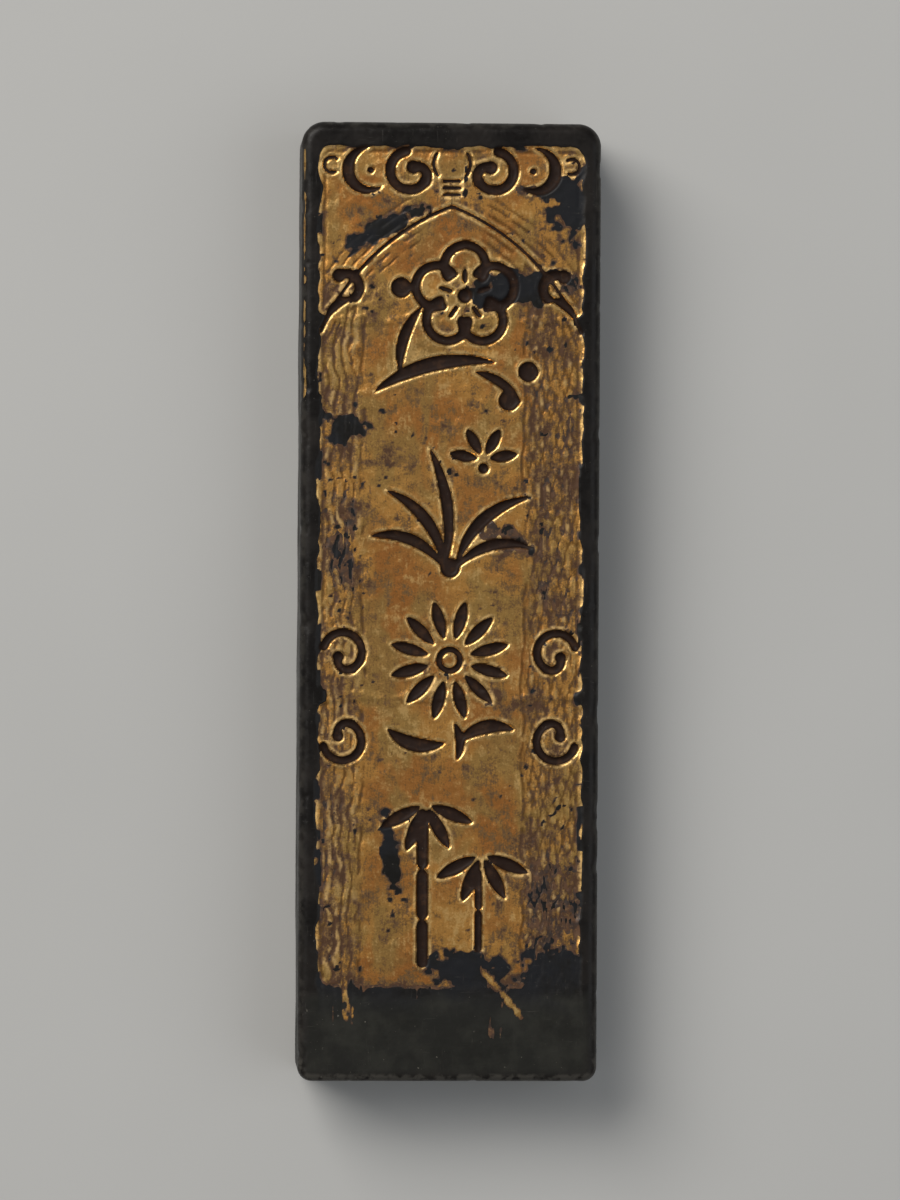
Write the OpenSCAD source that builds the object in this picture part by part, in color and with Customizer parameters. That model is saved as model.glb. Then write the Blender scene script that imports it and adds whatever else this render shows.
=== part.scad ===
// Gilded ink stick: a pressed cake of soot and glue, lying on its back.
// X runs across the stick, Y along it with the cloud border at +Y and the grinding end at -Y,
// and Z through its thickness. The origin is the middle of the rest face.

/* [Cake] */
// Width of the stick
cake_w = 31; // [28:0.5:36]
// Length that is left of the stick
cake_l = 99; // [96:0.5:110]
// Thickness of the stick
cake_h = 11; // [8:0.5:16]
// Radius of the corners, seen from the front
corner_r = 2.4; // [2.3:0.1:3]
// Radius of the rounded long edges
edge_r = 1.1; // [0.6:0.1:1.1]
// Length that grinding has taken off the rounded end
ground_off = 1.2; // [0.6:0.1:2]
// Bevel that water has worn on the front of the grinding end
end_bevel = 0.7; // [0.3:0.1:1]

/* [Gilding] */
// Plain black rim beside the gilded panel
rim_w = 1.6; // [1.4:0.1:2]
// Plain black rim above the gilded panel
top_rim = 2.3; // [2:0.1:3]
// Bare length at the grinding end
bare_end = 8.6; // [7:0.1:9]
// Thickness of the gold leaf
leaf_t = 0.1; // [0.08:0.01:0.15]
// Thickness of the lacquer size that holds the leaf
size_t = 0.05; // [0.04:0.01:0.08]

/* [Line work] */
// Width of the scroll lines
line_w = 1; // [0.8:0.1:1.1]
// Width of the finest incised lines
hair_w = 0.35; // [0.3:0.05:0.45]
// Depth of the incised lines below the front
groove_d = 0.35; // [0.25:0.05:0.5]
// Width of the scrolled border down each side
border_w = 4.2; // [4:0.1:4.6]

/* [Hidden] */
$fn = 64;

ink_black = [0.10, 0.09, 0.08];
size_brown = [0.36, 0.20, 0.09];
leaf_gold = [0.72, 0.53, 0.22];

front_z = cake_h;
leaf_z = front_z - leaf_t;
panel_z = leaf_z - size_t;
overcut = 0.5;
beyond = 10;

panel_x = cake_w / 2 - rim_w;
panel_top = cake_l / 2 - top_rim;
panel_bottom = -cake_l / 2 + bare_end;
panel_corner_r = 1.4;
thread_from = 128;
thread_sweep = 26;
thread_l = cake_l / 4;
field_x = panel_x - border_w;

// The border's motifs, measured down from the top of the panel or in from its sides.
band_y = panel_top - 2.7;
band_low = panel_top - 6;
lobe_r = 1.9;
lobe_y = band_y + 0.7;
inner_volute_x = 4.4;
inner_volute_r = 2.0;
outer_volute_x = 8.9;
outer_volute_r = 2.3;
crescent_over = 0.15;
crescent_hole_r = 2.05;
crescent_hole_at = [-0.8, 0.25];
corner_curl_r = 0.8;
corner_curl_x = panel_x - 1.5;
hook_r = 1.4;
hook_x = panel_x - 3;
hook_y = panel_top - 14.8;
scroll_r = 2;
scroll_x = panel_x - 2.85;
scroll_mid_y = -9.8;
scroll_gap = 4.6;

// The pointed arch over the field: two arcs that meet on the centre line.
arch_r = 23.8;
arch_x = 8.5;
arch_peak = panel_top - 6.4;
arch_y = arch_peak - sqrt(arch_r * arch_r - arch_x * arch_x);

// Nicks in the panel's sides, where the scrolls spring from the rim.
nick_r = 0.9;
nick_in = 0.5;
shoulder_y = hook_y - 3.6;

// Middles of the four sprigs that decorate the field, from the top down.
sprig_y = [29, 9.8, -7.9, -28.8];

// ---------- flat shapes ----------

// A sector of a disc, as a polygon that reaches past radius r.
module sector(r, from, sweep) {
    steps = ceil(sweep / 45);
    polygon(concat([[0, 0]],
        [for (i = [0 : steps]) let (a = from + sweep * i / steps) 1.3 * r * [cos(a), sin(a)]]));
}

// A round-ended line of width w along a circle of radius r.
module arc_line(r, w, from, sweep) {
    intersection() {
        difference() {
            circle(r + w / 2);
            circle(r - w / 2);
        }
        sector(r + w, from, sweep);
    }
    for (end = [from, from + sweep]) rotate(end) translate([r, 0]) circle(w / 2);
}

// A scroll: an arc that turns on, past a slight swelling, into one of half its radius and ends in a ball.
module scroll_line(r, w, from, sweep, curl = 150) {
    turn = from + sweep;
    arc_line(r, w, from, sweep);
    rotate(turn) translate([r, 0]) circle(0.6 * w);
    translate(r / 2 * [cos(turn), sin(turn)]) {
        arc_line(r / 2, w, turn, curl);
        rotate(turn + curl) translate([r / 2, 0]) circle(0.7 * w);
    }
}

// A straight round-ended line from p to q.
module straight_line(p, q, w) {
    d = q - p;
    translate(p) rotate(atan2(d[1], d[0])) {
        translate([0, -w / 2]) square([norm(d), w]);
        for (x = [0, norm(d)]) translate([x, 0]) circle(w / 2);
    }
}

// A pointed leaf along +X from the origin, l long and w wide.
module leaf(l, w) {
    r = (l * l + w * w) / (4 * w);
    translate([l / 2, 0]) intersection() {
        translate([0, r - w / 2]) circle(r);
        translate([0, w / 2 - r]) circle(r);
    }
}

// A curved blade along +X from the origin, l long, bent up by rise and w wide at its middle.
module blade(l, rise, w) {
    outer = rise + w / 2;
    inner = rise - w / 2;
    outer_r = (l * l / 4 + outer * outer) / (2 * outer);
    inner_r = (l * l / 4 + inner * inner) / (2 * inner);
    translate([l / 2, 0]) difference() {
        translate([0, outer - outer_r]) circle(outer_r);
        translate([0, inner - inner_r]) circle(inner_r, $fn = 128);
    }
}

module both_sides() {
    children();
    mirror([1, 0]) children();
}

// side is -1 for the left half of the front and 1 for the right half.
module on_side(side) {
    mirror([side < 0 ? 1 : 0, 0]) children();
}

// ---------- the cake ----------

// Section across a rounded edge: flat inside, and depth wide out to the edge.
module edge_section(depth) {
    square([depth - edge_r, cake_h]);
    translate([0, edge_r]) square([depth, cake_h - 2 * edge_r]);
    for (z = [edge_r, cake_h - edge_r]) translate([depth - edge_r, z]) circle(edge_r);
}

// The cake as it left the mould, with both ends rounded.
module moulded_blank() {
    straight_x = cake_w / 2 - corner_r;
    straight_y = (cake_l + ground_off) / 2 - corner_r;
    translate([0, -ground_off / 2, 0]) {
        rotate([90, 0, 0]) linear_extrude(2 * straight_y, center = true)
            both_sides() edge_section(cake_w / 2);
        for (end = [0, 180]) rotate(end) translate([0, straight_y, 0])
            rotate([90, 0, 90]) linear_extrude(2 * straight_x, center = true) edge_section(corner_r);
        for (sx = [0, 1], sy = [0, 1]) mirror([sx, 0, 0]) mirror([0, sy, 0])
            translate([straight_x, straight_y, 0]) rotate_extrude(angle = 90) edge_section(corner_r);
    }
}

// What grinding on the stone has taken from the lower end.
module ground_away() {
    translate([-cake_w, -cake_l / 2 - beyond, -overcut])
        cube([2 * cake_w, beyond, cake_h + 2 * overcut]);
    translate([0, -cake_l / 2, front_z]) rotate([45, 0, 0])
        cube([2 * cake_w, 2, sqrt(2) * end_bevel], center = true);
}

module cut_from_front(depth) {
    translate([0, 0, front_z - depth]) linear_extrude(depth + overcut) children();
}

// ---------- the line work ----------

module panel() {
    difference() {
        union() {
            translate([-panel_x, panel_bottom])
                square([2 * panel_x, panel_top - panel_bottom - panel_corner_r]);
            translate([panel_corner_r - panel_x, panel_top - 2 * panel_corner_r])
                square([2 * (panel_x - panel_corner_r), 2 * panel_corner_r]);
            both_sides() translate([panel_x - panel_corner_r, panel_top - panel_corner_r])
                circle(panel_corner_r);
        }
        both_sides() for (y = [shoulder_y, scroll_mid_y])
            translate([panel_x + nick_r - nick_in, y]) circle(nick_r);
    }
}

// Everything under the pointed arch.
module below_arch() {
    intersection() {
        translate([arch_x, arch_y]) circle(arch_r, $fn = 128);
        translate([-arch_x, arch_y]) circle(arch_r, $fn = 128);
        translate([-panel_x, arch_y]) square([2 * panel_x, arch_r]);
    }
    translate([-panel_x - overcut, panel_bottom - overcut])
        square([2 * (panel_x + overcut), arch_y + 2 * overcut - panel_bottom]);
}

module arch_line() {
    spring = asin((shoulder_y - 1 - arch_y) / arch_r);
    peak = acos(arch_x / arch_r);
    both_sides() translate([-arch_x, arch_y]) arc_line(arch_r, hair_w, spring, peak - spring, $fn = 128);
}

module lobe_lines() {
    both_sides() translate([0, lobe_y]) arc_line(lobe_r, hair_w, -40, 75);
    for (i = [0 : 2])
        straight_line([-0.9, band_y - 1.1 - 0.7 * i], [0.9, band_y - 1.1 - 0.7 * i], hair_w);
}

// The lines of one half of the cloud border, drawn on the right.
module cloud_lines() {
    translate([inner_volute_x, band_y]) mirror([1, 0]) scroll_line(inner_volute_r, line_w, 100, 225);
    translate([outer_volute_x, band_y]) difference() {
        circle(outer_volute_r + crescent_over);
        translate(crescent_hole_at) circle(crescent_hole_r);
    }
    translate([outer_volute_x - 0.5, band_y]) circle(hair_w);
    translate([corner_curl_x, band_y + 0.5]) arc_line(corner_curl_r, hair_w, -120, 250);
    translate([hook_x, hook_y]) {
        mirror([1, 0]) {
            arc_line(hook_r, line_w, -50, 170);
            rotate(120) translate([hook_r, 0]) circle(0.7 * line_w);
        }
        translate(hook_r * [-cos(50), -sin(50)]) rotate(-38) blade(3.8, 0.55, 0.9);
    }
}

// The back-to-back scroll pair at the middle of one border, drawn on the right.
module side_scroll_lines() {
    translate([scroll_x, scroll_mid_y]) for (flip = [0, 1]) mirror([0, flip])
        translate([0, scroll_gap]) scroll_line(scroll_r, 0.85 * line_w, 15, 225, 140);
}

// ---------- the four sprigs ----------

module plum_sprig() {
    translate([1.4, 2.6]) {
        for (i = [0 : 4]) rotate(90 + 72 * i) {
            translate([3.1, 0]) arc_line(2.15, 0.9, -125, 250);
            translate([1.5, 0]) straight_line([0, 0], [1.1, 0], 0.45);
        }
        circle(0.75);
    }
    translate([-8.2, -7.6]) rotate(14) blade(13.5, 1.5, 1.5);
    translate([-5.2, -5.6]) rotate(72) blade(7.6, 0.9, 1.1);
    translate([2.2, -5.2]) rotate(-34) blade(6.2, 0.7, 1);
    for (bud = [[-5.2, 3.4], [8.0, -5.2], [6.0, -8.2]]) translate(bud) circle(1.05);
}

module orchid_sprig() {
    for (b = [[158, 8.6, 1.5, 1.2], [128, 10.4, 1.6, 1.25], [98, 13, 1.2, 1.2]])
        translate([-0.6, -6.4]) rotate(b[0]) mirror([0, 1]) blade(b[1], b[2], b[3]);
    for (b = [[14, 8.4, 1.5, 1.15], [43, 11, 1.8, 1.25]])
        translate([0.6, -6.4]) rotate(b[0]) blade(b[1], b[2], b[3]);
    translate([0, -6.3]) circle(1);
    translate([3.4, 4.9]) for (a = [10, 62, 118, 170]) rotate(a) translate([0.55, 0]) leaf(3.1, 1.15);
    translate([3.4, 4.0]) circle(0.55);
}

module chrysanthemum_sprig() {
    translate([0, 1.9]) {
        for (i = [0 : 11]) rotate(30 * i + 15) translate([2.1, 0]) leaf(4.3, 1.25);
        arc_line(1.1, 0.6, 0, 359);
    }
    translate([0.4, -4.4]) rotate(-86) blade(4.2, 0.6, 0.9);
    translate([-0.3, -6.6]) rotate(166) blade(6.4, 1.0, 1.5);
    translate([1.0, -6.6]) rotate(12) blade(6.0, 1.0, 1.4);
}

module bamboo_sprig() {
    for (joint = [[-8.4, 4.4], [-3.4, 4.6], [1.8, 5.6]])
        translate([-2.7, joint[0]]) straight_line([0, 0], [0, joint[1] - 0.6], 1.15);
    for (cane = [[-7.0, 3.6], [-2.6, 3.4]])
        translate([3.1, cane[0]]) straight_line([0, 0], [0, cane[1]], 0.75);
    for (tuft = [[-2.4, 8.0], [3.4, 2.8]]) translate(tuft)
        for (a = [-152, -112, -62, -22]) rotate(a) translate([0.5, 0]) leaf(4.9, 1.35);
}

module sprigs() {
    translate([0, sprig_y[0]]) plum_sprig();
    translate([0, sprig_y[1]]) orchid_sprig();
    translate([0, sprig_y[2]]) chrysanthemum_sprig();
    translate([0, sprig_y[3]]) bamboo_sprig();
}

// ---------- regions of leaf, each drawn whole before the lines are cut out of it ----------

module lobe_region() {
    translate([0, lobe_y]) circle(lobe_r);
}

module inner_volute_region() {
    translate([inner_volute_x, band_y]) circle(inner_volute_r);
}

module outer_volute_region() {
    translate([outer_volute_x, band_y]) circle(outer_volute_r);
}

module corner_region() {
    translate([outer_volute_x + outer_volute_r, band_low]) square([beyond, beyond]);
}

module hook_region() {
    translate([hook_x, hook_y]) circle(hook_r);
}

module scroll_region(up) {
    translate([scroll_x, scroll_mid_y + up * scroll_gap]) circle(scroll_r);
}

// One leaf-thick plate of a region, without the lines given as its children.
module leaf_plate() {
    color(leaf_gold) translate([0, 0, leaf_z]) linear_extrude(leaf_t) children();
}

// ---------- sub-parts ----------

module ink_cake() {
    color(ink_black) difference() {
        moulded_blank();
        ground_away();
        cut_from_front(leaf_t + size_t) panel();
        cut_from_front(groove_d) sprigs();
        cut_from_front(groove_d) border_lines();
        edge_channel(edge_r + overcut);
    }
}

module border_lines() {
    arch_line();
    lobe_lines();
    both_sides() {
        cloud_lines();
        side_scroll_lines();
    }
}

module gilding_size() {
    color(size_brown) translate([0, 0, panel_z]) linear_extrude(size_t) difference() {
        panel();
        sprigs();
        border_lines();
    }
}

module gilt_centre_lobe() {
    leaf_plate() difference() {
        intersection() {
            lobe_region();
            panel();
        }
        lobe_lines();
    }
}

module gilt_inner_volute(side) {
    leaf_plate() on_side(side) difference() {
        inner_volute_region();
        cloud_lines();
    }
}

module gilt_outer_volute(side) {
    leaf_plate() on_side(side) difference() {
        outer_volute_region();
        cloud_lines();
    }
}

module gilt_corner(side) {
    leaf_plate() on_side(side) difference() {
        intersection() {
            corner_region();
            panel();
        }
        outer_volute_region();
        cloud_lines();
    }
}

module gilt_spandrel(side) {
    leaf_plate() on_side(side) difference() {
        intersection() {
            translate([0, arch_y]) square([2 * panel_x, arch_r + beyond]);
            panel();
        }
        below_arch();
        lobe_region();
        inner_volute_region();
        outer_volute_region();
        corner_region();
        hook_region();
        border_lines();
    }
}

module gilt_hook(side) {
    leaf_plate() on_side(side) difference() {
        hook_region();
        below_arch();
        border_lines();
    }
}

module gilt_field() {
    leaf_plate() difference() {
        intersection() {
            below_arch();
            translate([-field_x, panel_bottom]) square([2 * field_x, panel_top - panel_bottom]);
        }
        both_sides() for (up = [-1, 1]) scroll_region(up);
        sprigs();
        border_lines();
    }
}

module gilt_border(side) {
    leaf_plate() on_side(side) difference() {
        intersection() {
            panel();
            below_arch();
            translate([field_x, panel_bottom]) square([border_w, panel_top - panel_bottom]);
        }
        for (up = [-1, 1]) scroll_region(up);
        border_lines();
    }
}

module gilt_scroll(side, up) {
    leaf_plate() on_side(side) difference() {
        scroll_region(up);
        side_scroll_lines();
    }
}

// A thread of gold along the upper left edge. Its channel in the cake is outer_r in radius.
module edge_channel(outer_r) {
    translate([edge_r - cake_w / 2, 0, cake_h - edge_r]) rotate([90, 0, 0])
        translate([0, 0, corner_r + overcut - cake_l / 2]) linear_extrude(thread_l) intersection() {
            difference() {
                circle(outer_r);
                circle(edge_r - leaf_t);
            }
            sector(outer_r, thread_from, thread_sweep);
        }
}

module gilt_edge_line() {
    color(leaf_gold) edge_channel(edge_r);
}

ink_cake();
gilding_size();
gilt_centre_lobe();
gilt_inner_volute(-1);  // gilt_inner_volute_left
gilt_inner_volute(1);  // gilt_inner_volute_right
gilt_outer_volute(-1);  // gilt_outer_volute_left
gilt_outer_volute(1);  // gilt_outer_volute_right
gilt_corner(-1);  // gilt_corner_left
gilt_corner(1);  // gilt_corner_right
gilt_spandrel(-1);  // gilt_spandrel_left
gilt_spandrel(1);  // gilt_spandrel_right
gilt_hook(-1);  // gilt_hook_left
gilt_hook(1);  // gilt_hook_right
gilt_field();
gilt_border(-1);  // gilt_border_left
gilt_border(1);  // gilt_border_right
gilt_scroll(-1, 1);  // gilt_scroll_left_upper
gilt_scroll(-1, -1);  // gilt_scroll_left_lower
gilt_scroll(1, 1);  // gilt_scroll_right_upper
gilt_scroll(1, -1);  // gilt_scroll_right_lower
gilt_edge_line();
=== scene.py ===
"""A gilded ink stick, lying on its back on a pale floor and seen from above.

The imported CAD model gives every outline: rays sent down on it say which gilt node, rim or groove
lies under each point of a fine lattice, and the lattice becomes the worn cake and its thin gilding.
Lengths in this file are in millimetres until a mesh, light or camera is made in metres.
"""
import math
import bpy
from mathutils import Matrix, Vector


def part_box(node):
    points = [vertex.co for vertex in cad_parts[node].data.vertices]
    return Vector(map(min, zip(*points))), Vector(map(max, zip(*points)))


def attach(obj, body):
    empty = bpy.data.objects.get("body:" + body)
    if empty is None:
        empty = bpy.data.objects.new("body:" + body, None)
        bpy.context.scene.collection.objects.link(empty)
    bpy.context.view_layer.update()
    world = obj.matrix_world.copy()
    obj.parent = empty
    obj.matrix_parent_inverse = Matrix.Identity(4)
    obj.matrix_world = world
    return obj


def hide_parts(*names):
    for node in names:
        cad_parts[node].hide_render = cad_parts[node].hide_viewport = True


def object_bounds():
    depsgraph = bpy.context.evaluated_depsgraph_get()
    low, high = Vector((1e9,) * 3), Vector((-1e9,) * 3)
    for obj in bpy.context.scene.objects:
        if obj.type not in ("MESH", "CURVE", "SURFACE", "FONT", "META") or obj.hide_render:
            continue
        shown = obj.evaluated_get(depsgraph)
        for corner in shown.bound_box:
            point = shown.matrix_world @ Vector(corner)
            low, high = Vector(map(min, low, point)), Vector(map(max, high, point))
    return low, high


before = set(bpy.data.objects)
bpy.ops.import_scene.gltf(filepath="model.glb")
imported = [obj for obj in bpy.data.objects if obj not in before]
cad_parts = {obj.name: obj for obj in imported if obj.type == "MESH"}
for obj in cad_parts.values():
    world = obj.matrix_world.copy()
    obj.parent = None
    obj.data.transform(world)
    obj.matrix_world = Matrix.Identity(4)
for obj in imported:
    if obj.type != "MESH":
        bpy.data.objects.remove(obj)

from types import SimpleNamespace

import bpy
import numpy as np
from mathutils import Vector
from mathutils.bvhtree import BVHTree

cad_low, cad_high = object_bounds()

MM = 0.001
SEED = 7

# ---------- the cake's form, as in the CAD ----------
HALF_W = (cad_high.x - cad_low.x) / 2 / MM
HALF_L = (cad_high.y - cad_low.y) / 2 / MM
HEIGHT = cad_high.z / MM
EDGE_R = 1.1             # rounding of the long edges and of the moulded end
END_R = 0.75             # wear on the edges of the ground end
CORNER_R = 2.4           # plan radius of the moulded end's corners
GROUND_CORNER_R = 1.5    # plan radius of the ground end's corners
TOP_GAP = 0.02           # the front lies this far below the CAD's, so that no lip rises past it
EDGE_STEPS = 8           # lattice steps round a rounded edge
END_STEPS = 6
NX_FLAT = 170            # steps between the edges: in all, multiples of FINE_PER_COARSE
NY_FLAT = 574
FINE_PER_COARSE = 3      # the sides and back are three times coarser than the front
WALL_ROWS = 18
SUPERSAMPLE = 3    # rays cast for each step of the lattice

# ---------- the front's relief ----------
PANEL_RECESS = 0.13
LINE_DEPTH = 0.26        # steep sides of the incised lines
BOWL_DEPTH = 0.24        # further rounding towards the middle of a wide line
LIP_RISE = 0.022         # raised metal-bright lip beside a line
CONTOUR_DEPTH = 0.06     # fine wavy lines of the side strips
BORDER_DEPTH = 0.07      # fine line along the panel's edge
LEAF_LIFT = 0.034        # tops of the leaf and the size above the cake, and how thick they are
LEAF_THICK = 0.05
SIZE_LIFT = 0.016
SIZE_THICK = 0.032
LINE_BLUR = 0.115        # these four say how softly the grooves, their lips, the panel's edge
LIP_BLUR = 0.26          # and the joints between leaves are drawn
EDGE_BLUR = 0.40
JOINT_BLUR = 0.10
GOLD_BARE = 0.30         # leaf is gone where less gold than this is left
SIZE_BARE = 0.12         # and the size under it is gone below this
STREAK_REACH = 4.2       # streaks of gold run this far below the panel
CRUMB_BLUR = 2.5         # in lattice steps
CRUMB_SHARE = 0.16       # a free island with less leaf than this in its surroundings is dropped
CRUMB_REACH = 25         # leaf this many lattice steps from a larger part of its island stays
SHARP_EDGE = 55          # in degrees
THREAD_ANGLE = 42        # how far round the edge's rounding the thread of gold lies, in degrees

# The pointed arch, as in the CAD.
ARCH_R = 23.8
ARCH_X = 8.5
ARCH_PEAK = HALF_L - 8.7
ARCH_Y = ARCH_PEAK - math.sqrt(ARCH_R ** 2 - ARCH_X ** 2)
NICKS = (29, -9.8)       # heights at which the panel's edge is nicked

# ---------- wear of the gold ----------
# Worn and lost patches: middle, half-sizes, tilt in degrees and how much gold is gone.
WORN_PATCHES = (
    (12.4, 41.2, 3.0, 3.0, 0, 1.7),         # the upper right corner
    (8.8, 42.4, 2.6, 0.9, -8, 0.7),
    (6.9, 32.4, 4.3, 1.9, 10, 1.5),         # beside the right hook, over the top sprig
    (11.6, 32.8, 1.6, 1.2, 0, 0.6),
    (-10.8, 18.0, 1.9, 1.6, 10, 1.35),      # the left border
    (-7.0, 38.6, 5.4, 1.15, 27, 0.95),      # across the arch's left shoulder
    (-6.0, -26.6, 1.0, 4.2, 3, 1.1),        # left of the lowest sprig
    (1.6, -37.8, 4.0, 1.9, -10, 1.3),       # the lower edge
    (9.8, -33.0, 4.4, 8.5, 6, 0.30),
    (11.6, -38.6, 4.2, 2.8, 0, 0.7),        # the lower right corner
    (5.4, 6.6, 3.2, 1.9, -28, 0.55),
    (-1.0, 12.2, 1.6, 1.0, 30, 0.4),
    (-11.2, 6.5, 1.6, 7.0, 0, 0.30),        # rubbed stretches of the two borders
    (11.2, 10.0, 2.0, 13.0, 0, 0.16),
    (-12.2, -28.0, 1.6, 9.0, 0, 0.24),
    (4.6, -9.9, 3.0, 1.1, -12, 0.34),
    (0.3, 42.6, 2.2, 1.2, 0, 0.34),
    (1.5, -17.8, 4.5, 0.8, 0, 0.25),
)
# Streaks of gold wiped down over the bare end: middle, half-sizes and tilt.
STREAKS = (
    (-10.6, -41.0, 0.34, 2.2, 4),
    (-9.8, -42.6, 0.22, 1.3, -3),
    (5.6, -40.4, 0.32, 2.6, 40),
    (7.3, -42.5, 0.30, 0.8, 35),
)
# Places where the gold is warmer: middle and half-sizes.
WARM_PATCHES = (
    (0, 37, 6, 4),
    (-10, 41, 4, 4),
    (-6.5, -3, 2.5, 8),
    (-5, -36, 4, 2.5),
    (5.5, -25, 2, 5),
)

rng = np.random.default_rng(SEED)
TABLE = rng.random((256, 256))
TABLE3 = rng.random((48, 48, 48))


# ---------- noise and small field helpers ----------
def fade(t):
    return t * t * (3 - 2 * t)


def smooth(low, high, v):
    """0 where v is at low, 1 where it is at high, and an S-curve between them."""
    return fade(np.clip((v - low) / (high - low), 0, 1))


def noise2(x, y, size, seed=0):
    """Gradient noise, mostly from 0.1 to 0.9, with features about size millimetres across.

    Another seed reads another stretch of the same endless pattern."""
    u, v = x / size + 37.1 * seed + 900, y / size + 17.7 * seed + 900
    i, j = np.floor(u).astype(int), np.floor(v).astype(int)
    fu, fv = u - i, v - j
    wu, wv = fade(fu), fade(fv)
    total = 0
    for a in (0, 1):
        for b in (0, 1):
            angle = 2 * math.pi * TABLE[(j + b) % 256, (i + a) % 256]
            dot = np.cos(angle) * (fu - a) + np.sin(angle) * (fv - b)
            total = total + dot * (wu if a else 1 - wu) * (wv if b else 1 - wv)
    return np.clip(0.5 + 0.85 * total, 0, 1)


def fbm2(x, y, size, octaves=4, seed=0, gain=0.5):
    """Noise with finer noise on it: each octave is half the size, weaker by gain, and turned."""
    total, weight, w = 0, 0, 1.0
    for k in range(octaves):
        total = total + w * noise2(x, y, size / 2 ** k, seed + 3 * k)
        weight += w
        w *= gain
        x, y = 0.8 * x - 0.6 * y, 0.6 * x + 0.8 * y
    return total / weight


def noise3(p, size, seed=0):
    """Smooth value noise from 0 to 1 at the points p, which are in the last axis."""
    q = p / size + 11.3 * seed + 400
    i = np.floor(q).astype(int)
    f = fade(q - i)
    i0, i1 = i % 48, (i + 1) % 48
    total = 0
    for a in (0, 1):
        for b in (0, 1):
            for c in (0, 1):
                ia, ib, ic = (i1 if s else i0 for s in (a, b, c))
                w = (f[..., 0] if a else 1 - f[..., 0]) * (f[..., 1] if b else 1 - f[..., 1])
                w = w * (f[..., 2] if c else 1 - f[..., 2])
                total = total + w * TABLE3[ia[..., 0], ib[..., 1], ic[..., 2]]
    return total


def blur(field, sigma):
    """Gaussian blur by sigma cells, with the border repeated."""
    reach = max(1, int(3 * sigma + 0.5))
    kernel = np.exp(-0.5 * (np.arange(-reach, reach + 1) / sigma) ** 2)
    kernel /= kernel.sum()
    for axis in (0, 1):
        pad = [(reach, reach) if a == axis else (0, 0) for a in (0, 1)]
        wide = np.pad(field, pad, mode="edge")
        n = field.shape[axis]
        out = np.zeros(field.shape)
        for k, w in enumerate(kernel):
            out += w * (wide[k:k + n] if axis == 0 else wide[:, k:k + n])
        field = out
    return field


def patch(x, y, cx, cy, rx, ry, turn=0, ragged=0.9, seed=0):
    """1 well inside a ragged ellipse, 0 well outside it."""
    a = math.radians(turn)
    u = ((x - cx) * math.cos(a) + (y - cy) * math.sin(a)) / rx
    v = ((y - cy) * math.cos(a) - (x - cx) * math.sin(a)) / ry
    edge = np.hypot(u, v) + ragged * 2 * (fbm2(x, y, 2.0, 3, seed, 0.6) - 0.5)
    return smooth(1.25, 0.65, edge)


# ---------- the lattice ----------
def lattice_lines():
    """Distances of the lattice's columns from the left side, and of its rows from the ground end."""
    turn = np.linspace(math.pi / 2, 0, EDGE_STEPS + 1)
    side = EDGE_R * (1 - np.sin(turn))
    end = END_R * (1 - np.sin(np.linspace(math.pi / 2, 0, END_STEPS + 1)))
    width, length = 2 * HALF_W, 2 * HALF_L
    columns = np.concatenate([
        side[:-1], np.linspace(EDGE_R, width - EDGE_R, NX_FLAT + 1), width - side[:-1][::-1]])
    rows = np.concatenate([
        end[:-1], np.linspace(END_R, length - EDGE_R, NY_FLAT + 1), length - side[:-1][::-1]])
    return columns, rows


def rounded_plan(columns, rows):
    """Maps the square lattice onto the plan with rounded corners.

    Gives x, y, the distance in from the outline, the edge's radius, and the outward direction."""
    from_left, from_end = np.meshgrid(columns, rows)
    x, y = from_left - HALF_W, from_end - HALF_L
    sx, sy = HALF_W - np.abs(x), HALF_L - np.abs(y)
    radius = np.where(y > 0, CORNER_R, GROUND_CORNER_R)
    px, py = np.maximum(radius - sx, 0), np.maximum(radius - sy, 0)
    corner = (px > 0) & (py > 0)
    norm = np.hypot(px, py)
    norm[norm == 0] = 1
    scale = np.where(corner, np.maximum(px, py) / norm, 1)
    x = np.where(corner, np.sign(x) * (HALF_W - radius + px * scale), x)
    y = np.where(corner, np.sign(y) * (HALF_L - radius + py * scale), y)
    inset = np.minimum(sx, sy)
    turn = np.where(corner, np.arctan2(py, px) / (math.pi / 2), (sy < sx).astype(float))
    edge = np.where(y < 0, EDGE_R + (END_R - EDGE_R) * fade(turn), EDGE_R)
    out_x = np.where(corner, px / norm, (sx <= sy).astype(float)) * np.sign(x)
    out_y = np.where(corner, py / norm, (sx > sy).astype(float)) * np.sign(y)
    return x, y, inset, edge, out_x, out_y


# ---------- what the CAD has under each point of the front ----------
RIM, GROOVE = -1, -2     # marks for points that are on no gilt node
FACES_UP = 0.4           # the rays only meet faces whose normals rise more than this
CAKE_GROOVE = 0.2        # bare cake this far below the top is the floor of a groove
NO_PANEL = (1.3, 8, 2)   # the panel keeps at least this far from the sides, the ground end and the top


def front_faces():
    """A search tree of all faces that look up, the owner of each face, and the nodes' names."""
    verts, faces, owner = [], [], []
    names = sorted(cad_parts)
    for k, name in enumerate(names):
        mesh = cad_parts[name].data
        base = len(verts)
        verts += [v.co / MM for v in mesh.vertices]
        for poly in mesh.polygons:
            if poly.normal.z > FACES_UP:
                faces.append([base + v for v in poly.vertices])
                owner.append(k)
    return BVHTree.FromPolygons(verts, faces), owner, names


def finer(distances):
    """The same distances, with SUPERSAMPLE steps for each of theirs."""
    steps = np.arange(0, len(distances) - 1 + 1e-9, 1 / SUPERSAMPLE)
    return np.interp(steps, np.arange(len(distances)), distances)


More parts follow.
